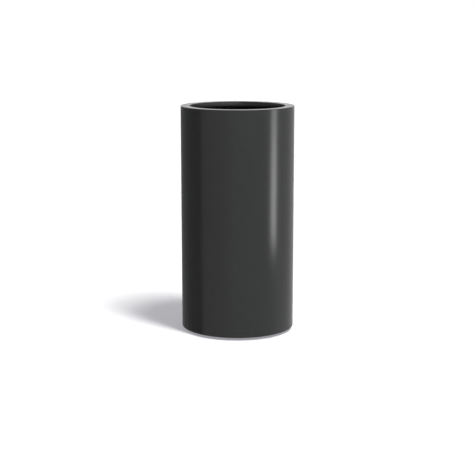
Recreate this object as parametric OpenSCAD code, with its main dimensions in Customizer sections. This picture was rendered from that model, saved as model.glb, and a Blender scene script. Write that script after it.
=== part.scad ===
// Tall round aluminium planter: a rolled sheet shell with an inward rim, a raised base on
// four levelling feet, and a loose tray that carries the plant's pot at half height.
// Millimetres, +Z up. The origin is on the floor, on the shell's axis.

/* [Body] */
// Outside diameter of the shell
body_d = 400; // [380:10:600]
// Height of the planter from the floor to the top of the rim
overall_h = 800; // [650:10:1200]
// Sheet thickness of the shell
wall_t = 2; // [1.5:0.5:3]
// Gap under the shell with the feet screwed fully in
floor_gap = 10; // [8:1:13]
// Weld gap between the shell and the plates welded into it
weld_gap = 0.2; // [0.1:0.1:0.4]
// Height of the bead along the shell's seam, on the inside
seam_bead_h = 0.8; // [0.4:0.1:1]

/* [Rim] */
// Width of the rim, from the outside of the shell to the opening
rim_w = 32; // [20:1:45]
// Sheet thickness of the rim ring
rim_t = 2; // [1.5:0.5:4]
// Radius that the rim's outer top edge is ground to
rim_edge_r = 0.8; // [0.3:0.1:1.2]
// Height of the lip below the rim ring
lip_h = 15; // [8:1:40]
// Sheet thickness of the lip
lip_t = 2; // [1.5:0.5:4]

/* [Base] */
// Thickness of the base plate
base_t = 3; // [2:0.5:5]
// Leg of the fillets that weld the base plate to the shell
base_fillet = 4; // [3:0.5:6]
// Number of weld stitches around the base plate
stitches = 8; // [6:1:12]
// Length of each weld stitch, as an angle
stitch_angle = 14; // [8:1:20]
// Diameter of the drain holes
drain_d = 14; // [8:1:20]
// Distance from the shell's inside to the middle of the outer drain holes
drain_inset = 48; // [30:1:60]
// Thickness of the channels under the base plate
channel_t = 3; // [2:0.5:4]
// Width of the channels
channel_w = 40; // [34:1:50]
// Inside height of the channels, room for the nuts and the ends of the studs
channel_room = 22; // [22:1:32]
// Length of channel past the axis of each foot
channel_end = 52; // [30:1:54]

/* [Feet] */
// Distance from the outside of the shell to the axis of each foot
foot_inset = 70; // [66:1:80]
// How far each foot screws out
foot_travel = 12; // [6:1:12]
// Diameter of the stud's thread
thread_d = 10; // [8:1:12]
// Running clearance of the stud in its nut, on the radius
thread_gap = 0.08; // [0.04:0.01:0.1]
// Across flats of the nut
nut_af = 17; // [17:1:19]
// Height of the nut
nut_h = 8; // [6:1:9]
// Across flats of the stud's collar
collar_af = 14; // [13:1:17]
// Height of the stud's collar
collar_h = 4; // [3:0.5:5]
// Diameter of the disc on the stud's end, held in the pad
stud_disc_d = 16; // [14:1:18]
// Thickness of that disc
stud_disc_t = 2.4; // [2:0.2:3]
// Diameter of the stud's neck, between the disc and the collar
neck_d = 8; // [6:0.5:10]
// Diameter of the pad
pad_d = 40; // [34:1:46]
// Diameter of the boss on the pad
pad_boss_d = 24; // [22:1:28]
// Thickness of the pad at its edge
pad_edge_h = 3; // [2:0.5:4]
// Depth of the sole under the pad
sole_t = 2; // [1:0.5:3]
// Recess of the sole from the edge of the pad
sole_inset = 1.5; // [0.5:0.5:3]
// Running clearance between the stud and the pad
pad_gap = 0.3; // [0.2:0.1:0.4]

/* [Tray] */
// Depth from the top of the rim to the tray
tray_depth = 380; // [200:10:450]
// Clearance of the tray to the opening, on the radius
tray_gap = 3; // [2:0.5:8]
// Gap that the coating leaves between the tray and its brackets
tray_seat_gap = 0.3; // [0.2:0.1:0.5]
// Thickness of the tray's plate
tray_t = 2.5; // [2:0.5:4]
// Height of the tray's turned up edge
tray_edge_h = 18; // [10:1:30]
// Thickness of the tray's edge strip
tray_edge_t = 2; // [1.5:0.5:3]
// Diameter of the tray's drain holes
tray_hole_d = 10; // [6:1:12]
// Number of rings of drain holes in the tray
tray_rings = 3; // [2:1:4]
// Length of each finger slot
slot_l = 80; // [70:2:90]
// Width of each finger slot
slot_w = 26; // [22:1:30]
// Distance from the tray's axis to the middle of each finger slot
slot_offset = 84; // [80:1:90]

/* [Brackets] */
// Width of each bracket
bracket_w = 40; // [24:2:60]
// Thickness of the bracket sheet
bracket_t = 3; // [2:0.5:4]
// Height of the bracket's leg on the shell
bracket_h = 45; // [40:1:70]
// How far the tray laps onto each bracket
bracket_lap = 20; // [12:1:26]
// Radius of the bracket's front corners
bracket_r = 8; // [4:1:10]
// Depth of the gusset at the shell
gusset_h = 34; // [20:1:36]

/* [Hidden] */
$fn = 96;

// Derived sizes of the shell and the rim
shell_r = body_d / 2;
inside_r = shell_r - wall_t;
welded_r = inside_r - weld_gap;
opening_r = shell_r - rim_w;
rim_z = overall_h - rim_t;
lip_z = rim_z - lip_h;
seam_angle = 90;
seam_bead_root = 1;
seam_bead_r = (seam_bead_h + seam_bead_root) / 2;
seam_bead_clear = 1;

// Derived heights of a foot, from the floor up
pad_floor_t = 1.2;
pad_lip_t = 2;
pocket_z = sole_t + pad_floor_t;
pocket_top_z = pocket_z + stud_disc_t + pad_gap;
pad_top_z = pocket_top_z + pad_lip_t;
collar_z = pad_top_z + pad_gap;
stud_end_chamfer = 1;

// Derived heights of the base
web_z = collar_z + collar_h;
nut_z = web_z + channel_t;
stud_top_z = nut_z + nut_h + foot_travel;
base_z = nut_z + channel_room;
base_top_z = base_z + base_t;
channel_bend_r = channel_t + 1;
stud_hole_gap = 0.5;

// Derived places of the feet, the drain holes and the tray
foot_angles = [225, 315, 45, 135];
foot_r = shell_r - foot_inset;
foot_xy = foot_r * cos(45);
channel_l = 2 * (foot_xy + channel_end);
drain_r = inside_r - drain_inset;
drain_angles = [0, 90, 180, 270];
tray_r = opening_r - tray_gap;
tray_top_z = overall_h - tray_depth;
tray_z = tray_top_z - tray_t;
bracket_top_z = tray_z - tray_seat_gap;
bracket_angles = [225, 315, 45, 135];
bracket_front_r = tray_r - bracket_lap;
hole_margin = 8;
ring_pitch = (bracket_front_r - hole_margin - tray_hole_d / 2) / tray_rings;
holes_per_ring = 6;
slot_margin = 4;

// Room that a cut needs past a face
cut = 1;

// Metal and plastic colours
powder_coat = "#3a3c3b";
galvanised = "#b4b8ba";
nylon = "#1d1d1e";
rubber = "#101011";

// Points of an arc about a centre, from one angle to another
function arc(centre, r, from, to, steps = 6) =
    [for (i = [0:steps]) let (a = from + (to - from) * i / steps)
        [centre[0] + r * cos(a), centre[1] + r * sin(a)]];

// Straight tube standing on z
module tube(outer_r, inner_r, z, h) {
    translate([0, 0, z]) difference() {
        cylinder(r = outer_r, h = h);
        translate([0, 0, -cut]) cylinder(r = inner_r, h = h + 2 * cut);
    }
}

// Upright hexagonal prism, by its size across flats
module hex_prism(across_flats, z, h) {
    translate([0, 0, z]) cylinder(r = across_flats / 2 / cos(30), h = h, $fn = 6);
}

// Slot with round ends along y
module slot_outline(length, width) {
    straight = length - width;
    square([width, straight], center = true);
    for (side = [-1, 1]) translate([0, side * straight / 2]) circle(d = width);
}

// Folded channel section, open at the top, with bent lower corners
module channel_block(width, height, bend_r) {
    translate([-width / 2, bend_r]) square([width, height - bend_r]);
    translate([-width / 2 + bend_r, 0]) square([width - 2 * bend_r, height]);
    for (side = [-1, 1]) translate([side * (width / 2 - bend_r), bend_r]) circle(r = bend_r);
}

module channel_section() {
    difference() {
        channel_block(channel_w, channel_t + channel_room, channel_bend_r);
        translate([0, channel_t])
            channel_block(channel_w - 2 * channel_t, channel_room + cut, channel_bend_r - channel_t);
    }
}

// Sheet rolled to a tube, with the bead of its vertical seam on the inside
module body_shell() {
    bead_z = base_top_z + seam_bead_clear;
    bead_centre = inside_r - seam_bead_h + seam_bead_r;
    color(powder_coat) {
        tube(shell_r, inside_r, floor_gap, rim_z - floor_gap);
        rotate(seam_angle) translate([bead_centre, 0, bead_z])
            cylinder(r = seam_bead_r, h = lip_z - bead_z);
    }
}

// Flat ring on the shell's top edge, with its outer and inner edges ground round
module rim_ring() {
    color(powder_coat) translate([0, 0, rim_z]) rotate_extrude() polygon(concat(
        [[opening_r, 0], [shell_r, 0]],
        arc([shell_r - rim_edge_r, rim_t - rim_edge_r], rim_edge_r, 0, 90),
        arc([opening_r + rim_edge_r, rim_t - rim_edge_r], rim_edge_r, 90, 180)
    ));
}

// Rolled strip under the ring's inner edge
module rim_lip() {
    color(powder_coat) tube(opening_r + lip_t, opening_r, lip_z, lip_h);
}

// One stitch of the fillet between the base plate and the shell
module base_stitch() {
    rotate(-stitch_angle / 2) rotate_extrude(angle = stitch_angle) polygon([
        [welded_r - base_fillet, base_z + cut],
        [welded_r - base_fillet, base_z],
        [welded_r, base_z - base_fillet],
        [welded_r, base_z + cut]
    ]);
}

// Round plate with its drain holes, stitch welded to the shell from below
module base_plate() {
    color(powder_coat) difference() {
        union() {
            translate([0, 0, base_z]) cylinder(r = welded_r, h = base_t);
            for (i = [0:stitches - 1]) rotate((i + 0.5) * 360 / stitches) base_stitch();
        }
        drain_hole();
        for (a = drain_angles) rotate(a) translate([drain_r, 0, 0]) drain_hole();
    }
}

module drain_hole() {
    translate([0, 0, base_z - cut]) cylinder(d = drain_d, h = base_t + 2 * cut);
}

// Folded channel across the base, with a hole for the stud of each foot
module base_channel(y) {
    stud_hole_r = thread_d / 2 + stud_hole_gap;
    color(powder_coat) translate([0, y, 0]) difference() {
        translate([-channel_l / 2, 0, web_z]) rotate([90, 0, 90])
            linear_extrude(height = channel_l) channel_section();
        for (side = [-1, 1]) translate([side * foot_xy, 0, web_z - cut])
            cylinder(r = stud_hole_r, h = channel_t + 2 * cut);
    }
}

// Puts its children at the axis of one foot
module at_foot(number) {
    rotate(foot_angles[number - 1]) translate([foot_r, 0, 0]) rotate(-foot_angles[number - 1])
        children();
}

// Nut welded onto the channel's web
module foot_nut(number) {
    color(galvanised) at_foot(number) difference() {
        hex_prism(nut_af, nut_z, nut_h);
        translate([0, 0, nut_z - cut]) cylinder(r = thread_d / 2 + thread_gap, h = nut_h + 2 * cut);
    }
}

// Stud with its collar for a spanner, and the disc that the pad holds
module foot_stud(number) {
    stud_r = thread_d / 2;
    color(galvanised) at_foot(number) {
        translate([0, 0, pocket_z]) cylinder(d = stud_disc_d, h = stud_disc_t);
        translate([0, 0, pocket_z]) cylinder(d = neck_d, h = collar_z + cut - pocket_z);
        hex_prism(collar_af, collar_z, collar_h);
        rotate_extrude() polygon([
            [0, collar_z + cut], [stud_r, collar_z + cut], [stud_r, stud_top_z - stud_end_chamfer],
            [stud_r - stud_end_chamfer, stud_top_z], [0, stud_top_z]
        ]);
    }
}

// Moulded pad, dished up to a boss that holds the stud's disc
module foot_pad(number) {
    pad_r = pad_d / 2;
    boss_r = pad_boss_d / 2;
    edge_z = sole_t + pad_edge_h;
    cove_r = min(pad_r - boss_r, pad_top_z - edge_z) * 0.9;
    pocket_r = stud_disc_d / 2 + pad_gap;
    neck_hole_r = neck_d / 2 + pad_gap;
    color(nylon) at_foot(number) rotate_extrude() polygon(concat(
        [[0, sole_t], [pad_r, sole_t], [pad_r, edge_z]],
        arc([boss_r + cove_r, edge_z + cove_r], cove_r, 270, 180),
        [
            [boss_r, pad_top_z], [neck_hole_r, pad_top_z], [neck_hole_r, pocket_top_z],
            [pocket_r, pocket_top_z], [pocket_r, pocket_z], [0, pocket_z]
        ]
    ));
}

// Soft disc under the pad
module foot_sole(number) {
    color(rubber) at_foot(number) cylinder(r = pad_d / 2 - sole_inset, h = sole_t);
}

// Bracket that carries the tray: a leaf, a leg rolled to the shell and a gusset
module shelf_bracket(number) {
    reach = welded_r - bracket_front_r;
    color(powder_coat) rotate(bracket_angles[number - 1]) intersection() {
        cylinder(r = welded_r, h = overall_h);
        union() {
            translate([bracket_front_r, 0, bracket_top_z - bracket_t])
                linear_extrude(height = bracket_t) bracket_leaf(reach);
            intersection() {
                tube(shell_r, welded_r - bracket_t, bracket_top_z - bracket_h, bracket_h);
                translate([0, -bracket_w / 2, 0]) cube([shell_r, bracket_w, overall_h]);
            }
            translate([0, bracket_t / 2, 0]) rotate([90, 0, 0])
                linear_extrude(height = bracket_t) gusset_outline();
        }
    }
}

// Leaf of a bracket, with round front corners, from its front edge to past the shell's inside
module bracket_leaf(reach) {
    translate([bracket_r, -bracket_w / 2]) square([reach, bracket_w]);
    translate([0, bracket_r - bracket_w / 2]) square([reach, bracket_w - 2 * bracket_r]);
    for (side = [-1, 1]) translate([bracket_r, side * (bracket_w / 2 - bracket_r)])
        circle(r = bracket_r);
}

module gusset_outline() {
    under_z = bracket_top_z - bracket_t;
    front_r = bracket_front_r + bracket_r;
    back_r = welded_r - bracket_t / 2;
    polygon([
        [front_r, under_z + bracket_t / 2], [front_r, under_z],
        [back_r, under_z - gusset_h], [back_r, under_z + bracket_t / 2]
    ]);
}

// Outline of the tray's floor: the disc, without its finger slots and drain holes
module tray_outline() {
    difference() {
        circle(r = tray_r);
        circle(d = tray_hole_d);
        for (ring = [1:tray_rings]) for (i = [0:holes_per_ring * ring - 1]) {
            angle = (i + 0.5) * 360 / (holes_per_ring * ring);
            place = ring * ring_pitch * [cos(angle), sin(angle)];
            if (!near_slot(place)) translate(place) circle(d = tray_hole_d);
        }
        for (side = [-1, 1]) translate([side * slot_offset, 0]) slot_outline(slot_l, slot_w);
    }
}

// Whether a drain hole at this place would run into a finger slot
function near_slot(place) =
    abs(abs(place[0]) - slot_offset) < (slot_w + tray_hole_d) / 2 + slot_margin
    && abs(place[1]) < (slot_l + tray_hole_d) / 2 + slot_margin;

module tray_plate() {
    color(powder_coat) translate([0, 0, tray_z]) linear_extrude(height = tray_t) tray_outline();
}

// Rolled strip around the tray
module tray_edge() {
    color(powder_coat) tube(tray_r, tray_r - tray_edge_t, tray_top_z, tray_edge_h);
}

body_shell();
rim_ring();
rim_lip();
base_plate();
base_channel(-foot_xy);  // base_channel_front
base_channel(foot_xy);  // base_channel_rear
for (i = [1:4]) {
    shelf_bracket(i);
    foot_nut(i);
    foot_stud(i);
    foot_pad(i);
    foot_sole(i);
}
tray_plate();
tray_edge();
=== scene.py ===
"""Looks of the tall round planter: its coated shell and rim, the tray and the levelling feet."""
import math

import bpy
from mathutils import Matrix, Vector


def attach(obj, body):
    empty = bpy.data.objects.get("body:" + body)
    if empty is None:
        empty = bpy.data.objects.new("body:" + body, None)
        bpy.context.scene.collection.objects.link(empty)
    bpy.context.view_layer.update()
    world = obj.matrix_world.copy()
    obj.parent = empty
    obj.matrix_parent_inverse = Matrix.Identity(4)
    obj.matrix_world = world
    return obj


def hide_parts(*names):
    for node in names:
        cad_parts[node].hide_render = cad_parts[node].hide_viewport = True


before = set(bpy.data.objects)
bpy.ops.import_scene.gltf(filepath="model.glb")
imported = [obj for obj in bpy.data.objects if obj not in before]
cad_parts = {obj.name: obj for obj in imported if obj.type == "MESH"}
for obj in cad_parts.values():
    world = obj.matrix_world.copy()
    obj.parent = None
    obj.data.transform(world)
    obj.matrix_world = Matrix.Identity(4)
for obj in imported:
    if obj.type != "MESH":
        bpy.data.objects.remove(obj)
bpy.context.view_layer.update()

MM = 0.001
TURN = 2 * math.pi

# Shell and rim, in millimetres
SHELL_R = 200.0
WALL = 2.0
SHELL_Z = 10.0
TOP_Z = 800.0
RING_T = 2.0
RIM_W = 32.0
LIP_T = 2.0
LIP_H = 15.0
LIP_LEAN = 2.0
RIM_EDGE = 0.8
SHELL_EDGE = 0.3
LIP_EDGE = 0.5
SHELL_SEGMENTS = 288

# Base
WELD_GAP = 0.2
BASE_T = 3.0
DRAIN_R = 7.0
DRAIN_INSET = 48.0
STITCHES = 8
STITCH_ANGLE = 14.0
CHANNEL_T = 3.0
CHANNEL_W = 40.0
CHANNEL_ROOM = 22.0
BASE_BEVEL = 0.3

# Feet
FOOT_INSET = 70.0
FOOT_TRAVEL = 12.0
THREAD_R = 5.0
THREAD_PITCH = 1.5
THREAD_DEPTH = 0.92
NUT_AF = 17.0
NUT_H = 8.0
COLLAR_AF = 14.0
COLLAR_H = 4.0
DISC_R = 8.0
DISC_T = 2.4
DISC_PLAY = 0.05
DISC_EDGE = 0.3
NECK_R = 4.0
PAD_R = 20.0
BOSS_R = 12.0
PAD_EDGE_H = 3.0
PAD_FLOOR = 1.2
PAD_LIP = 2.0
PAD_GAP = 0.3
SOLE_T = 2.0
SOLE_INSET = 1.5
SOLE_GROOVES = (15.0, 11.5, 8.0, 4.5)
GROOVE_DEEP = 0.6
GROOVE_HALF_TOP = 0.6
GROOVE_HALF_MOUTH = 0.9
SOLE_EDGE = 0.3
PAD_LOW_EDGE = 0.5
PAD_RIM_EDGE = 0.6
PAD_MOUTH_EDGE = 0.3
SHANK_PLAIN = 1.2
TIP_CHAMFER = 0.7
COLLAR_CORE_R = 1.0
NUT_PLAY = 0.08
HEX_CHAMFER_IN = 0.25
HEX_CHAMFER = 30.0

# Tray and its brackets
TRAY_DEPTH = 380.0
TRAY_GAP = 3.0
TRAY_T = 2.5
TRAY_SEAT_GAP = 0.3
TRAY_EDGE_H = 18.0
TRAY_EDGE_T = 2.0
TRAY_HOLE_R = 5.0
TRAY_RINGS = 3
SLOT_L = 80.0
SLOT_W = 26.0
SLOT_OFFSET = 84.0
BRACKET_W = 40.0
BRACKET_H = 45.0
BRACKET_LAP = 20.0
TRAY_BEVEL = 0.4
TRAY_EDGE_ROUND = 0.6
HOLE_TO_BRACKET = 8.0
HOLE_TO_SLOT = 4.0

# Weld beads: radius and ripple pitch of each, in millimetres
BASE_BEAD = (2.3, 2.4)
CHANNEL_BEAD = (1.8, 2.2)
BRACKET_BEAD = (1.5, 2.0)
SEAM_BEAD = (0.86, 2.4)
TRAY_BEAD = (1.2, 1.8)
NUT_BEAD = (1.5, 1.8)
BASE_BEAD_IN = 0.9
BASE_BEAD_DOWN = 1.0
CHANNEL_STITCHES = (-115.0, -45.0, 45.0, 115.0)
CHANNEL_STITCH_HALF = 14.0
BRACKET_BEAD_IN = 0.6
BRACKET_BEAD_LOW = 2.0
BRACKET_BEAD_HIGH = 3.0
SEAM_SUNK = 0.1
SEAM_OVER_BASE = 1.5
SEAM_UNDER_LIP = 0.5
TRAY_TACKS = 8
TRAY_TACK_ANGLE = 6.0
NUT_TACKS = 3
NUT_TACK_HALF = 2.6

# Coat: its two close colours, and its gloss
COAT_LOW = (0.0222, 0.0234, 0.0229)
COAT_HIGH = (0.0246, 0.0258, 0.0253)
COAT_ROUGHNESS = 0.22
COAT_ROUGHNESS_SPAN = 0.02
COAT_IOR = 1.36

# Derived places
inside_r = SHELL_R - WALL
welded_r = inside_r - WELD_GAP
opening_r = SHELL_R - RIM_W
ring_z = TOP_Z - RING_T
lip_z = ring_z - LIP_H
pocket_z = SOLE_T + PAD_FLOOR
pocket_top = pocket_z + DISC_T + PAD_GAP
pad_top = pocket_top + PAD_LIP
collar_z = pad_top + PAD_GAP
web_z = collar_z + COLLAR_H
nut_z = web_z + CHANNEL_T
stud_top = nut_z + NUT_H + FOOT_TRAVEL
base_z = nut_z + CHANNEL_ROOM
base_top = base_z + BASE_T
foot_r = SHELL_R - FOOT_INSET
foot_xy = foot_r * math.cos(math.radians(45))
drain_ring = inside_r - DRAIN_INSET
tray_r = opening_r - TRAY_GAP
tray_top = TOP_Z - TRAY_DEPTH
tray_z = tray_top - TRAY_T
bracket_front = tray_r - BRACKET_LAP
bracket_top = tray_z - TRAY_SEAT_GAP
CORNERS = {1: (-foot_xy, -foot_xy), 2: (foot_xy, -foot_xy), 3: (foot_xy, foot_xy), 4: (-foot_xy, foot_xy)}
BRACKET_ANGLES = {1: 225.0, 2: 315.0, 3: 45.0, 4: 135.0}


def polar(radius, degrees, z=None):
    """Point at this radius and angle about the axis, with its height if one is given."""
    a = math.radians(degrees)
    point = (radius * math.cos(a), radius * math.sin(a))
    return point if z is None else (*point, z)


def rounded(corners, steps=4):
    """Outline through corners (x, y, radius), each turned round by its own radius."""
    out = []
    count = len(corners)
    for i, corner in enumerate(corners):
        here = Vector(corner[:2])
        radius = corner[2] if len(corner) > 2 else 0.0
        if radius <= 0:
            out.append(tuple(here))
            continue
        back = (Vector(corners[i - 1][:2]) - here).normalized()
        ahead = (Vector(corners[(i + 1) % count][:2]) - here).normalized()
        half = back.angle(ahead) / 2
        reach = radius / math.tan(half)
        centre = here + (back + ahead).normalized() * radius / math.sin(half)
        start = here + back * reach - centre
        end = here + ahead * reach - centre
        sweep = start.angle_signed(end)
        for k in range(steps + 1):
            a = -sweep * k / steps
            turned = Vector((start.x * math.cos(a) - start.y * math.sin(a),
                             start.x * math.sin(a) + start.y * math.cos(a)))
            out.append(tuple(centre + turned))
    return out


def add_piece(name, points, faces, material, body, replaced=(), sharp=35.0):
    """Mesh object in the row frame, from points in millimetres, smooth up to the sharp angle."""
    mesh = bpy.data.meshes.new(name)
    mesh.from_pydata([(x * MM, y * MM, z * MM) for x, y, z in points], [], faces)
    mesh.validate()
    mesh.shade_smooth()
    mesh.set_sharp_from_angle(angle=math.radians(sharp))
    mesh.materials.append(material)
    piece = bpy.data.objects.new(name, mesh)
    bpy.context.scene.collection.objects.link(piece)
    return dress(piece, body, replaced)


def dress(piece, body, replaced):
    """Lets a piece ride on its body and hides the nodes that it stands for."""
    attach(piece, body)
    if replaced:
        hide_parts(*replaced)
    return piece


def revolve(outline, segments, centre=(0.0, 0.0), closed=True):
    """Points and faces of an outline (radius, z) turned about an upright axis."""
    points = []
    rows = []
    for r, z in outline:
        if r < 1e-9:
            rows.append([len(points)] * segments)
            points.append((centre[0], centre[1], z))
            continue
        rows.append(list(range(len(points), len(points) + segments)))
        for k in range(segments):
            a = TURN * k / segments
            points.append((centre[0] + r * math.cos(a), centre[1] + r * math.sin(a), z))
    faces = []
    pairs = len(rows) if closed else len(rows) - 1
    for i in range(pairs):
        low = rows[i]
        high = rows[(i + 1) % len(rows)]
        for k in range(segments):
            n = (k + 1) % segments
            corner = [low[k], low[n], high[n], high[k]]
            face = [c for j, c in enumerate(corner) if c not in corner[:j]]
            if len(face) > 2:
                faces.append(face)
    return points, faces


def join(parts):
    """One list of points and faces from several."""
    points = []
    faces = []
    for some_points, some_faces in parts:
        shift = len(points)
        points.extend(some_points)
        faces.extend([[i + shift for i in face] for face in some_faces])
    return points, faces


def plate(name, outlines, z_low, z_high, bevel, material, body, replaced):
    """Flat plate with holes and a small bevel on all its edges, from closed outlines."""
    curve = bpy.data.curves.new(name + "_outline", "CURVE")
    curve.dimensions = "2D"
    curve.fill_mode = "BOTH"
    curve.extrude = ((z_high - z_low) / 2 - bevel) * MM
    curve.bevel_depth = bevel * MM
    curve.bevel_resolution = 2
    curve.offset = -bevel * MM
    for outline in outlines:
        spline = curve.splines.new("POLY")
        spline.points.add(len(outline) - 1)
        for point, (x, y) in zip(spline.points, outline):
            point.co = (x * MM, y * MM, 0.0, 1.0)
        spline.use_cyclic_u = True
    holder = bpy.data.objects.new(name + "_holder", curve)
    bpy.context.scene.collection.objects.link(holder)
    graph = bpy.context.evaluated_depsgraph_get()
    mesh = bpy.data.meshes.new_from_object(holder.evaluated_get(graph))
    bpy.data.objects.remove(holder)
    bpy.data.curves.remove(curve)
    for vertex in mesh.vertices:
        vertex.co.z += (z_low + z_high) / 2 * MM
    mesh.name = name
    mesh.shade_smooth()
    mesh.set_sharp_from_angle(angle=math.radians(35))
    mesh.materials.clear()
    mesh.materials.append(material)
    piece = bpy.data.objects.new(name, mesh)
    bpy.context.scene.collection.objects.link(piece)
    return dress(piece, body, replaced)


def circle(radius, centre=(0.0, 0.0), count=48):
    """Closed outline of a circle."""
    return [(centre[0] + radius * math.cos(TURN * k / count),
             centre[1] + radius * math.sin(TURN * k / count)) for k in range(count)]


def weld(path, radius, pitch, crown, around=10):
    """Rippled bead along a path of points. The ripples bow along the side that crown faces."""
    line = [Vector(p) for p in path]
    lengths = [0.0]
    for a, b in zip(line, line[1:]):
        lengths.append(lengths[-1] + (b - a).length)
    total = lengths[-1]
    rings = max(6, int(total / pitch * 6))
    points = []
    at = 0
    for i in range(rings + 1):
        s = total * i / rings
        while at < len(line) - 2 and lengths[at + 1] < s:
            at += 1
        share = (s - lengths[at]) / (lengths[at + 1] - lengths[at])
        place = line[at].lerp(line[at + 1], share)
        along = (line[at + 1] - line[at]).normalized()
        outward = Vector(crown(place) if callable(crown) else crown)
        outward = (outward - along * outward.dot(along)).normalized()
        side = along.cross(outward)
        end = min(s, total - s) / (1.2 * radius)
        swell = math.sqrt(max(0.0, 1 - (1 - min(1.0, end)) ** 2))
        for k in range(around):
            a = TURN * k / around
            phase = s / pitch + 0.35 * math.cos(a)
            ripple = 1 + 0.10 * abs(math.sin(math.pi * phase)) - 0.05
            r = radius * ripple * max(0.05, swell)
            points.append(tuple(place + outward * (r * math.cos(a)) + side * (r * math.sin(a))))
    faces = []
    for i in range(rings):
        for k in range(around):
            n = (k + 1) % around
            faces.append([i * around + k, i * around + n, (i + 1) * around + n, (i + 1) * around + k])
    faces.append(list(range(around))[::-1])
    faces.append([rings * around + k for k in range(around)])
    return points, faces


def hexagon_radius(across_flats, angle):
    """Distance from the middle of a hexagon to its edge, corners at 0, 60 and so on degrees."""
    within = (math.degrees(angle) % 60) - 30
    return across_flats / 2 / math.cos(math.radians(within))


def hexagon_body(across_flats, z_low, z_high, hole_r, centre, low_chamfer, high_chamfer, around=96):
    """Hexagonal prism with a hole and turned chamfers at its ends."""
    touch = across_flats / 2 - HEX_CHAMFER_IN
    slope = math.tan(math.radians(HEX_CHAMFER))
    drop = (across_flats / 2 / math.cos(math.radians(30)) - touch) * slope
    steps = 6
    rises = [drop * k / steps for k in range(steps + 1)]
    uncut = 2 * across_flats
    levels = [(z_low + rise, touch + rise / slope) for rise in rises] if low_chamfer else [(z_low, uncut)]
    if high_chamfer:
        levels += [(z_high - rise, touch + rise / slope) for rise in reversed(rises)]
    else:
        levels.append((z_high, uncut))
    edge = [hexagon_radius(across_flats, TURN * k / around) for k in range(around)]
    rows = [[(hole_r, z_low)] * around]
    for z, limit in levels:
        rows.append([(min(limit, r), z) for r in edge])
    rows.append([(hole_r, z_high)] * around)
    points = []
    for row in rows:
        for k, (r, z) in enumerate(row):
            a = TURN * k / around
            points.append((centre[0] + r * math.cos(a), centre[1] + r * math.sin(a), z))
    faces = []
    for i in range(len(rows)):
        n_row = (i + 1) % len(rows)
        for k in range(around):
            n = (k + 1) % around
            faces.append([i * around + k, i * around + n, n_row * around + n, n_row * around + k])
    return points, faces


def thread(z_low, z_high, centre, around=40):
    """Right-hand thread between two heights, with its end run out to the root."""
    steps = 8
    profile = [0.0, 0.0, 0.5, 1.0, 1.0, 1.0, 0.5, 0.0]
    turns = int((z_high - z_low) / THREAD_PITCH) + 2
    rows = turns * steps
    points = []
    for i in range(rows + 1):
        for k in range(around):
            z = z_low + THREAD_PITCH * (i / steps - 1 + k / around)
            held = min(max(z, z_low), z_high)
            run_out = min(1.0, (z_high - held) / THREAD_DEPTH, (held - z_low) / (2 * THREAD_DEPTH))
            r = THREAD_R - THREAD_DEPTH + THREAD_DEPTH * profile[i % steps] * max(0.0, run_out)
            a = TURN * k / around
            points.append((centre[0] + r * math.cos(a), centre[1] + r * math.sin(a), held))
    faces = []
    for i in range(rows):
        for k in range(around):
            if k + 1 < around:
                start, end = i * around + k + 1, (i + 1) * around + k + 1
            elif i + steps + 1 <= rows:
                start, end = (i + steps) * around, (i + steps + 1) * around
            else:
                continue
            faces.append([i * around + k, start, end, (i + 1) * around + k])
    return points, faces


def node(tree, kind, place, **inputs):
    """Shader node with some of its inputs set, by name."""
    made = tree.nodes.new(kind)
    made.location = place
    for key, value in inputs.items():
        made.inputs[key.replace("_", " ")].default_value = value
    return made


def blank_material(name):
    """Material with its Principled shader and its output, and a texture position in metres."""
    material = bpy.data.materials.new(name)
    material.use_nodes = True
    tree = material.node_tree
    shader = tree.nodes["Principled BSDF"]
    position = node(tree, "ShaderNodeTexCoord", (-1400, 0))
    return material, tree, shader, position.outputs["Object"]


def noise(tree, position, scale, detail, place):
    """Noise texture at this many waves to the metre."""
    made = node(tree, "ShaderNodeTexNoise", place, Scale=scale, Detail=detail, Roughness=0.5)
    tree.links.new(position, made.inputs["Vector"])
    return made.outputs["Fac"]


def vary_colour(tree, shader, factor, low, high, place):
    """Base colour that wanders between two close colours."""
    mix = tree.nodes.new("ShaderNodeMix")
    mix.data_type = "RGBA"
    mix.location = place
    mix.inputs["A"].default_value = (*low, 1.0)
    mix.inputs["B"].default_value = (*high, 1.0)
    tree.links.new(factor, mix.inputs["Factor"])
    tree.links.new(mix.outputs["Result"], shader.inputs["Base Color"])


def vary_number(tree, socket, factor, low, high, place):
    """Number that wanders between two values."""
    span = node(tree, "ShaderNodeMapRange", place, From_Min=0.3, From_Max=0.7, To_Min=low, To_Max=high)
    tree.links.new(factor, span.inputs["Value"])
    tree.links.new(span.outputs["Result"], socket)


def bump(tree, shader, heights, place):
    """Relief from several noises, each with its own depth in metres."""
    last = None
    for factor, depth in heights:
        made = node(tree, "ShaderNodeBump", place, Strength=1.0, Distance=depth)
        place = (place[0] + 180, place[1])
        tree.links.new(factor, made.inputs["Height"])
        if last is not None:
            tree.links.new(last, made.inputs["Normal"])
        last = made.outputs["Normal"]
    tree.links.new(last, shader.inputs["Normal"])


def coat_material():
    """Satin powder coat: even dark grey, a faint orange peel and a fine grain."""
    material, tree, shader, position = blank_material("powder_coat")
    broad = noise(tree, position, 7.0, 3.0, (-1100, 300))
    peel = noise(tree, position, 380.0, 2.0, (-1100, 0))
    grain = noise(tree, position, 2400.0, 3.0, (-1100, -300))
    vary_colour(tree, shader, broad, COAT_LOW, COAT_HIGH, (-500, 300))
    low = COAT_ROUGHNESS - COAT_ROUGHNESS_SPAN
    high = COAT_ROUGHNESS + COAT_ROUGHNESS_SPAN
    vary_number(tree, shader.inputs["Roughness"], peel, low, high, (-500, 50))
    shader.inputs["IOR"].default_value = COAT_IOR
    bump(tree, shader, [(peel, 0.000012), (grain, 0.000004)], (-500, -250))
    return material


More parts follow.
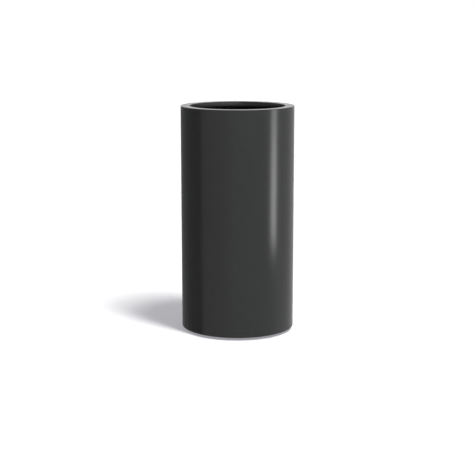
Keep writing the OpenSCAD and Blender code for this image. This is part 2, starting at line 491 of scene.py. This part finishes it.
def zinc_material():
    """Bright zinc plate, a little cloudy."""
    material, tree, shader, position = blank_material("zinc")
    cloud = noise(tree, position, 160.0, 3.0, (-1100, 200))
    grain = noise(tree, position, 3000.0, 2.0, (-1100, -200))
    shader.inputs["Metallic"].default_value = 1.0
    vary_colour(tree, shader, cloud, (0.50, 0.51, 0.52), (0.62, 0.63, 0.63), (-500, 300))
    vary_number(tree, shader.inputs["Roughness"], cloud, 0.26, 0.40, (-500, 50))
    bump(tree, shader, [(grain, 0.000006)], (-500, -250))
    return material


def nylon_material():
    """Black moulded nylon with a spark-eroded grain."""
    material, tree, shader, position = blank_material("nylon")
    cloud = noise(tree, position, 60.0, 2.0, (-1100, 200))
    grain = noise(tree, position, 2200.0, 3.0, (-1100, -200))
    vary_colour(tree, shader, cloud, (0.016, 0.016, 0.017), (0.021, 0.021, 0.022), (-500, 300))
    vary_number(tree, shader.inputs["Roughness"], cloud, 0.46, 0.56, (-500, 50))
    bump(tree, shader, [(grain, 0.00002)], (-500, -250))
    return material


def rubber_material():
    """Matte black rubber."""
    material, tree, shader, position = blank_material("rubber")
    cloud = noise(tree, position, 90.0, 3.0, (-1100, 200))
    grain = noise(tree, position, 1600.0, 3.0, (-1100, -200))
    vary_colour(tree, shader, cloud, (0.010, 0.010, 0.010), (0.016, 0.016, 0.016), (-500, 300))
    vary_number(tree, shader.inputs["Roughness"], cloud, 0.75, 0.88, (-500, 50))
    bump(tree, shader, [(grain, 0.00003)], (-500, -250))
    return material


coat = coat_material()
zinc = zinc_material()
nylon = nylon_material()
rubber = rubber_material()

# Shell, from under the rim to its lower edge, with both lower edges eased
shell_outline = rounded([
    (inside_r, SHELL_Z, SHELL_EDGE), (SHELL_R, SHELL_Z, SHELL_EDGE),
    (SHELL_R, ring_z), (inside_r, ring_z),
])
points, faces = revolve(shell_outline, SHELL_SEGMENTS)
add_piece("shell", points, faces, coat, "planter_body", ["body_shell"])

# Rim ring, flush with the shell, with its upper edges ground round
ring_outline = rounded([
    (opening_r, ring_z), (SHELL_R, ring_z), (SHELL_R, TOP_Z, RIM_EDGE), (opening_r, TOP_Z, RIM_EDGE),
], 5)
points, faces = revolve(ring_outline, SHELL_SEGMENTS)
add_piece("rim", points, faces, coat, "planter_body", ["rim_ring"])

# Lip under the ring, with its lower edges eased. It stands a little off upright, as rolled strip does
lip_outline = rounded([
    (opening_r, lip_z, LIP_EDGE), (opening_r + LIP_T, lip_z, LIP_EDGE),
    (opening_r + LIP_T + LIP_LEAN, ring_z), (opening_r + LIP_LEAN, ring_z),
])
points, faces = revolve(lip_outline, SHELL_SEGMENTS)
add_piece("lip", points, faces, coat, "planter_body", ["rim_lip"])

# Base plate with its drain holes
base_outlines = [circle(welded_r, count=240), circle(DRAIN_R)]
for degrees in (0, 90, 180, 270):
    base_outlines.append(circle(DRAIN_R, polar(drain_ring, degrees)))
plate("base", base_outlines, base_z, base_top, BASE_BEVEL, coat,
      "planter_body", ["base_plate"])

# Tray plate with its drain holes and finger slots
ring_pitch = (bracket_front - HOLE_TO_BRACKET - TRAY_HOLE_R) / TRAY_RINGS
tray_outlines = [circle(tray_r, count=240), circle(TRAY_HOLE_R, count=32)]
for ring in range(1, TRAY_RINGS + 1):
    for i in range(6 * ring):
        x, y = polar(ring * ring_pitch, (i + 0.5) * 60 / ring)
        beside = abs(abs(x) - SLOT_OFFSET) < SLOT_W / 2 + TRAY_HOLE_R + HOLE_TO_SLOT
        if beside and abs(y) < SLOT_L / 2 + TRAY_HOLE_R + HOLE_TO_SLOT:
            continue
        tray_outlines.append(circle(TRAY_HOLE_R, (x, y), 32))
for side in (-1, 1):
    slot_corners = [(side * SLOT_OFFSET + sx * SLOT_W / 2, sy * SLOT_L / 2, SLOT_W / 2 - 0.001)
                    for sx, sy in ((-1, -1), (1, -1), (1, 1), (-1, 1))]
    tray_outlines.append(rounded(slot_corners, 12))
plate("tray_floor", tray_outlines, tray_z, tray_top, TRAY_BEVEL, coat,
      "tray", ["tray_plate"])

# Strip around the tray
strip_outline = rounded([
    (tray_r - TRAY_EDGE_T, tray_top), (tray_r, tray_top),
    (tray_r, tray_top + TRAY_EDGE_H, TRAY_EDGE_ROUND),
    (tray_r - TRAY_EDGE_T, tray_top + TRAY_EDGE_H, TRAY_EDGE_ROUND),
])
points, faces = revolve(strip_outline, 240)
add_piece("tray_strip", points, faces, coat, "tray", ["tray_edge"])

# Channels and brackets keep their solids and take the coat
for name in ("base_channel_front", "base_channel_rear", *(f"shelf_bracket_{k}" for k in range(1, 5))):
    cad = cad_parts[name]
    cad.data.materials.clear()
    cad.data.materials.append(coat)

# Welds of the base plate, the channels, the brackets and the shell's seam, under the same coat
beads = []
for i in range(STITCHES):
    middle = (i + 0.5) * 360 / STITCHES
    arc = [polar(welded_r - BASE_BEAD_IN, middle + STITCH_ANGLE * (k / 24 - 0.5), base_z - BASE_BEAD_DOWN)
           for k in range(25)]
    beads.append(weld(arc, *BASE_BEAD, lambda p: (-p.x, -p.y, -math.hypot(p.x, p.y))))
points, faces = join(beads)
add_piece("weld_base", points, faces, coat, "planter_body", sharp=70)

beads = []
for y in (-foot_xy, foot_xy):
    for side in (-1, 1):
        edge = y + side * CHANNEL_W / 2
        for x in CHANNEL_STITCHES:
            run = [(x - CHANNEL_STITCH_HALF, edge, base_z), (x + CHANNEL_STITCH_HALF, edge, base_z)]
            beads.append(weld(run, *CHANNEL_BEAD, (0, side, -1)))
points, faces = join(beads)
add_piece("weld_channels", points, faces, coat, "planter_body", sharp=70)

beads = []
for k, degrees in BRACKET_ANGLES.items():
    swing = math.degrees(math.asin(BRACKET_W / 2 / welded_r))
    for side in (-1, 1):
        foot = polar(welded_r - BRACKET_BEAD_IN, degrees + side * swing)
        low = bracket_top - BRACKET_H + BRACKET_BEAD_LOW
        run = [(*foot, low), (*foot, bracket_top - BRACKET_BEAD_HIGH)]
        beads.append(weld(run, *BRACKET_BEAD, (-foot[0], -foot[1], 0)))
points, faces = join(beads)
add_piece("weld_brackets", points, faces, coat, "planter_body", sharp=70)

seam_y = inside_r + SEAM_SUNK
seam = [(0.0, seam_y, base_top + SEAM_OVER_BASE), (0.0, seam_y, lip_z - SEAM_UNDER_LIP)]
points, faces = weld(seam, *SEAM_BEAD, (0, -1, 0), around=8)
add_piece("weld_seam", points, faces, coat, "planter_body", sharp=70)

beads = []
for i in range(TRAY_TACKS):
    middle = (i + 0.5) * 360 / TRAY_TACKS
    arc = [polar(tray_r - TRAY_EDGE_T, middle + TRAY_TACK_ANGLE * (k / 12 - 0.5), tray_top)
           for k in range(13)]
    beads.append(weld(arc, *TRAY_BEAD, lambda p: (-p.x, -p.y, math.hypot(p.x, p.y))))
points, faces = join(beads)
add_piece("weld_tray", points, faces, coat, "tray", sharp=70)

# The four feet
for k, (x, y) in CORNERS.items():
    centre = (x, y)
    points, faces = hexagon_body(NUT_AF, nut_z, nut_z + NUT_H, THREAD_R + NUT_PLAY, centre, False, True)
    add_piece(f"nut_{k}", points, faces, zinc, "planter_body", [f"foot_nut_{k}"], sharp=20)

    tacks = []
    for i in range(NUT_TACKS):
        turn = math.radians(30 + 360 / NUT_TACKS * i)
        middle = Vector((x + NUT_AF / 2 * math.cos(turn), y + NUT_AF / 2 * math.sin(turn), nut_z))
        along = Vector((-math.sin(turn), math.cos(turn), 0))
        run = [tuple(middle - along * NUT_TACK_HALF), tuple(middle + along * NUT_TACK_HALF)]
        tacks.append(weld(run, *NUT_BEAD, (math.cos(turn), math.sin(turn), 1.0)))
    points, faces = join(tacks)
    add_piece(f"weld_nut_{k}", points, faces, zinc, "planter_body", sharp=70)

    disc_z = pocket_z + DISC_PLAY
    disc = rounded([(0, disc_z), (DISC_R, disc_z, DISC_EDGE), (DISC_R, pocket_z + DISC_T, DISC_EDGE),
                    (NECK_R, pocket_z + DISC_T), (NECK_R, collar_z), (0, collar_z)])
    root_r = THREAD_R - THREAD_DEPTH
    shank_z = web_z + SHANK_PLAIN
    shank = [(root_r, web_z), (root_r, shank_z)]
    tip_z = stud_top - TIP_CHAMFER
    tip = [(root_r, tip_z), (root_r - TIP_CHAMFER, stud_top), (0, stud_top)]
    parts = [
        revolve(disc, 64, centre, closed=False),
        hexagon_body(COLLAR_AF, collar_z, web_z, COLLAR_CORE_R, centre, True, True),
        revolve(shank, 40, centre, closed=False),
        thread(shank_z, tip_z, centre),
        revolve(tip, 40, centre, closed=False),
    ]
    points, faces = join(parts)
    add_piece(f"stud_{k}", points, faces, zinc, f"foot_stud_{k}", [f"foot_stud_{k}"], sharp=25)

    edge_z = SOLE_T + PAD_EDGE_H
    cove = min(PAD_R - BOSS_R, pad_top - edge_z) * 0.9
    outline = rounded([(0, SOLE_T), (PAD_R, SOLE_T, PAD_LOW_EDGE), (PAD_R, edge_z, PAD_RIM_EDGE)])
    for i in range(9):
        a = math.radians(270 - 90 * i / 8)
        outline.append((BOSS_R + cove + cove * math.cos(a), edge_z + cove + cove * math.sin(a)))
    outline += [(BOSS_R, pad_top - 0.3), (BOSS_R - 0.1, pad_top - 0.08), (BOSS_R - 0.3, pad_top)]
    outline += [(NECK_R + PAD_GAP + PAD_MOUTH_EDGE, pad_top), (NECK_R + PAD_GAP, pad_top - PAD_MOUTH_EDGE),
                (NECK_R + PAD_GAP, pocket_top), (DISC_R + PAD_GAP, pocket_top),
                (DISC_R + PAD_GAP, pocket_z), (0, pocket_z)]
    points, faces = revolve(outline, 128, centre, closed=False)
    add_piece(f"pad_{k}", points, faces, nylon, f"foot_pad_{k}", [f"foot_pad_{k}"])

    sole_r = PAD_R - SOLE_INSET
    outline = [(0, SOLE_T), (sole_r, SOLE_T), (sole_r, SOLE_EDGE), (sole_r - SOLE_EDGE, 0.0)]
    for groove in SOLE_GROOVES:
        outline += [(groove + GROOVE_HALF_MOUTH, 0.0), (groove + GROOVE_HALF_TOP, GROOVE_DEEP),
                    (groove - GROOVE_HALF_TOP, GROOVE_DEEP), (groove - GROOVE_HALF_MOUTH, 0.0)]
    outline.append((0, 0.0))
    points, faces = revolve(outline, 96, centre, closed=False)
    add_piece(f"sole_{k}", points, faces, rubber, f"foot_pad_{k}", [f"foot_sole_{k}"])

# Camera at the photograph's place: a little above the rim, just over four metres in front.
# Lengths in metres, angles in degrees
FOCAL_PX = 1195.4
IMAGE_PX = 474.0
CAMERA_BACK = 4.208
CAMERA_UP = 1.145
CAMERA_LEFT = 0.00184
CAMERA_DOWN = 10.973
camera_data = bpy.data.cameras.new("camera")
camera_data.sensor_width = 36.0
camera_data.lens = 36.0 * FOCAL_PX / IMAGE_PX
camera = bpy.data.objects.new("camera", camera_data)
camera.location = (-CAMERA_LEFT, -CAMERA_BACK, CAMERA_UP)
camera.rotation_euler = (math.radians(90 - CAMERA_DOWN), 0.0, 0.0)
bpy.context.scene.collection.objects.link(camera)
bpy.context.scene.camera = camera
bpy.context.scene.view_settings.view_transform = "Standard"

# Light levels, and the places of lamps and cards: lengths in metres, angles in degrees
FLOOR_WHITE = 0.80
FLOOR_LIFT = 0.325
FLOOR_TINT = (0.955, 0.945, 1.02)
FLOOR_REACH = 400.0
AMBIENT = 0.20
KEY_POWER = 0.9
KEY_SOFT = 8.8
KEY_SIDE = 44.0
KEY_HEIGHTS = (59.5, 65.4, 71.3)
STRIP_POWER = 0.225
STRIP_ON_SHELL = 38.4
STRIP_AWAY = 1.15
STRIP_WIDTH = 0.32
STRIP_HIGH = 0.78
STRIP_LEAN = 11.5
STRIP_SPREAD = 32.0
STRIP_OFF_FLOOR = 0.01
CARD_AWAY = 1.9
CARD_HIGH = 0.86
CARD_START = 0.01
CARD_OFF_FLOOR = 0.001
CARD_STEP = 2.0
BOX_AWAY = 3.0
BOX_FROM = -8.0
BOX_TO = 110.0
BOX_LOW = 1.10
BOX_HIGH = 2.5
BOX_GLOW = 3.0
BOX_COLUMNS = 25

# Angle on the shell that mirrors each edge of a card, and the brightness there
LEFT_CARD = ((-8.0, 0.95), (-30.0, 0.80), (-37.0, 0.72), (-39.0, 0.20), (-66.0, 0.20), (-88.0, 0.24))
RIGHT_CARD = ((49.0, 0.95), (54.0, 0.84), (60.0, 0.72), (75.0, 0.64), (88.0, 0.60))


def seen_rays(tree, place):
    """Factor that is 1 for rays from the camera, a reflection or a clear material."""
    path = node(tree, "ShaderNodeLightPath", place)
    first = node(tree, "ShaderNodeMath", (place[0] + 200, place[1]))
    first.operation = "MAXIMUM"
    tree.links.new(path.outputs["Is Camera Ray"], first.inputs[0])
    tree.links.new(path.outputs["Is Glossy Ray"], first.inputs[1])
    second = node(tree, "ShaderNodeMath", (place[0] + 400, place[1]))
    second.operation = "MAXIMUM"
    tree.links.new(first.outputs[0], second.inputs[0])
    tree.links.new(path.outputs["Is Transmission Ray"], second.inputs[1])
    return second.outputs[0]


# World: plain light, and white where it is seen
world = bpy.data.worlds.new("studio")
bpy.context.scene.world = world
world.use_nodes = True
tree = world.node_tree
background = tree.nodes["Background"]
background.inputs["Color"].default_value = (1.0, 1.0, 1.0, 1.0)
level = node(tree, "ShaderNodeMapRange", (-300, 0), To_Min=AMBIENT, To_Max=1.0)
tree.links.new(seen_rays(tree, (-1000, 0)), level.inputs["Value"])
tree.links.new(level.outputs["Result"], background.inputs["Strength"])

# Floor: white, lifted where it is seen so that it meets the background, clear from below
floor_material = bpy.data.materials.new("floor")
floor_material.use_nodes = True
tree = floor_material.node_tree
tree.nodes.clear()
output = node(tree, "ShaderNodeOutputMaterial", (900, 0))
diffuse = node(tree, "ShaderNodeBsdfDiffuse", (0, 200), Color=(FLOOR_WHITE, FLOOR_WHITE, FLOOR_WHITE, 1.0))
lift = node(tree, "ShaderNodeEmission", (0, 0), Color=(*FLOOR_TINT, 1.0))
lift_level = node(tree, "ShaderNodeMath", (-200, 0))
lift_level.operation = "MULTIPLY"
lift_level.inputs[1].default_value = FLOOR_LIFT
tree.links.new(seen_rays(tree, (-900, 0)), lift_level.inputs[0])
tree.links.new(lift_level.outputs[0], lift.inputs["Strength"])
both = node(tree, "ShaderNodeAddShader", (250, 100))
tree.links.new(diffuse.outputs[0], both.inputs[0])
tree.links.new(lift.outputs[0], both.inputs[1])
clear = node(tree, "ShaderNodeBsdfTransparent", (250, -150))
side = node(tree, "ShaderNodeNewGeometry", (250, 350))
choose = node(tree, "ShaderNodeMixShader", (600, 0))
tree.links.new(side.outputs["Backfacing"], choose.inputs[0])
tree.links.new(both.outputs[0], choose.inputs[1])
tree.links.new(clear.outputs[0], choose.inputs[2])
tree.links.new(choose.outputs[0], output.inputs["Surface"])

floor_mesh = bpy.data.meshes.new("floor")
floor_mesh.from_pydata(
    [(FLOOR_REACH * x, FLOOR_REACH * y, 0.0) for x, y in ((-1, -1), (1, -1), (1, 1), (-1, 1))],
    [], [(0, 1, 2, 3)],
)
floor_mesh.materials.append(floor_material)
floor = bpy.data.objects.new("floor", floor_mesh)
bpy.context.scene.collection.objects.link(floor)

# Key light from the front right: a tall soft source in three parts
side_angle = math.radians(KEY_SIDE)
for i, height in enumerate(KEY_HEIGHTS):
    up_angle = math.radians(height)
    flat = math.cos(up_angle)
    to_key = Vector((math.sin(side_angle) * flat, -math.cos(side_angle) * flat, math.sin(up_angle)))
    key_data = bpy.data.lights.new(f"key_{i + 1}", "SUN")
    key_data.energy = KEY_POWER
    key_data.angle = math.radians(KEY_SOFT)
    key = bpy.data.objects.new(f"key_{i + 1}", key_data)
    key.rotation_euler = (-to_key).to_track_quat("-Z", "Y").to_euler()
    key.location = to_key * 5
    bpy.context.scene.collection.objects.link(key)


def mirror(degrees):
    """Point of the shell at this angle from its front, and where the camera's ray goes from it, in plan."""
    a = math.radians(degrees)
    normal = Vector((math.sin(a), -math.cos(a)))
    point = normal * SHELL_R * MM
    ray = (point - camera.location.xy).normalized()
    return point, ray - 2 * ray.dot(normal) * normal


# Strip light on the floor to the right, which makes the upright highlight
point, ray = mirror(STRIP_ON_SHELL)
lean = math.radians(STRIP_LEAN)
place = point + ray * STRIP_AWAY
strip_data = bpy.data.lights.new("strip", "AREA")
strip_data.shape = "RECTANGLE"
strip_data.size = STRIP_WIDTH
strip_data.size_y = STRIP_HIGH
strip_data.spread = math.radians(STRIP_SPREAD)
strip_data.energy = STRIP_POWER
strip = bpy.data.objects.new("strip", strip_data)
strip.location = (place.x, place.y, STRIP_HIGH / 2 + STRIP_OFF_FLOOR)
aim = Vector((-ray.x * math.cos(lean), -ray.y * math.cos(lean), math.sin(lean)))
strip.rotation_euler = aim.to_track_quat("-Z", "Y").to_euler()
strip.visible_camera = False
strip.visible_diffuse = False
bpy.context.scene.collection.objects.link(strip)

# Grey cards to the sides, standing and on the floor, seen only in reflections
card_material = bpy.data.materials.new("card")
card_material.use_nodes = True
tree = card_material.node_tree
tree.nodes.clear()
output = node(tree, "ShaderNodeOutputMaterial", (300, 0))
glow = node(tree, "ShaderNodeEmission", (0, 0))
level = node(tree, "ShaderNodeAttribute", (-300, 0))
level.attribute_name = "glow"
tree.links.new(level.outputs["Fac"], glow.inputs["Strength"])
tree.links.new(glow.outputs[0], output.inputs["Surface"])


def add_card(name, columns):
    """Card from columns of points with a brightness each, which neither the camera nor the lamps see."""
    points = []
    faces = []
    levels = []
    for i, (column, brightness) in enumerate(columns):
        points += column
        levels += [brightness] * len(column)
        tall = len(column)
        if i:
            n = i * tall
            faces += [(n - tall + j, n + j, n + j + 1, n - tall + j + 1) for j in range(tall - 1)]
    mesh = bpy.data.meshes.new(name)
    mesh.from_pydata(points, [], faces)
    mesh.attributes.new("glow", "FLOAT", "POINT").data.foreach_set("value", levels)
    mesh.materials.append(card_material)
    card = bpy.data.objects.new(name, mesh)
    card.visible_camera = False
    card.visible_diffuse = False
    card.visible_transmission = False
    card.visible_volume_scatter = False
    card.visible_shadow = False
    bpy.context.scene.collection.objects.link(card)


for name, stops in (("left_card", LEFT_CARD), ("right_card", RIGHT_CARD)):
    columns = []
    for (first, first_glow), (last, last_glow) in zip(stops, stops[1:]):
        steps = max(2, round(abs(last - first) / CARD_STEP))
        for i in range(steps + 1):
            share = i / steps
            point, ray = mirror(first + (last - first) * share)
            near = point + ray * CARD_START
            far = point + ray * CARD_AWAY
            column = [(near.x, near.y, CARD_OFF_FLOOR), (far.x, far.y, CARD_OFF_FLOOR),
                      (far.x, far.y, CARD_HIGH)]
            columns.append((column, first_glow + (last_glow - first_glow) * share))
    add_card(name, columns)

# Soft box above the camera's height, which the lip inside the rim mirrors
columns = []
for i in range(BOX_COLUMNS):
    a = math.radians(BOX_FROM + (BOX_TO - BOX_FROM) * i / (BOX_COLUMNS - 1))
    x = BOX_AWAY * math.sin(a)
    y = -BOX_AWAY * math.cos(a)
    columns.append(([(x, y, BOX_LOW), (x, y, BOX_HIGH)], BOX_GLOW))
add_card("soft_box", columns)
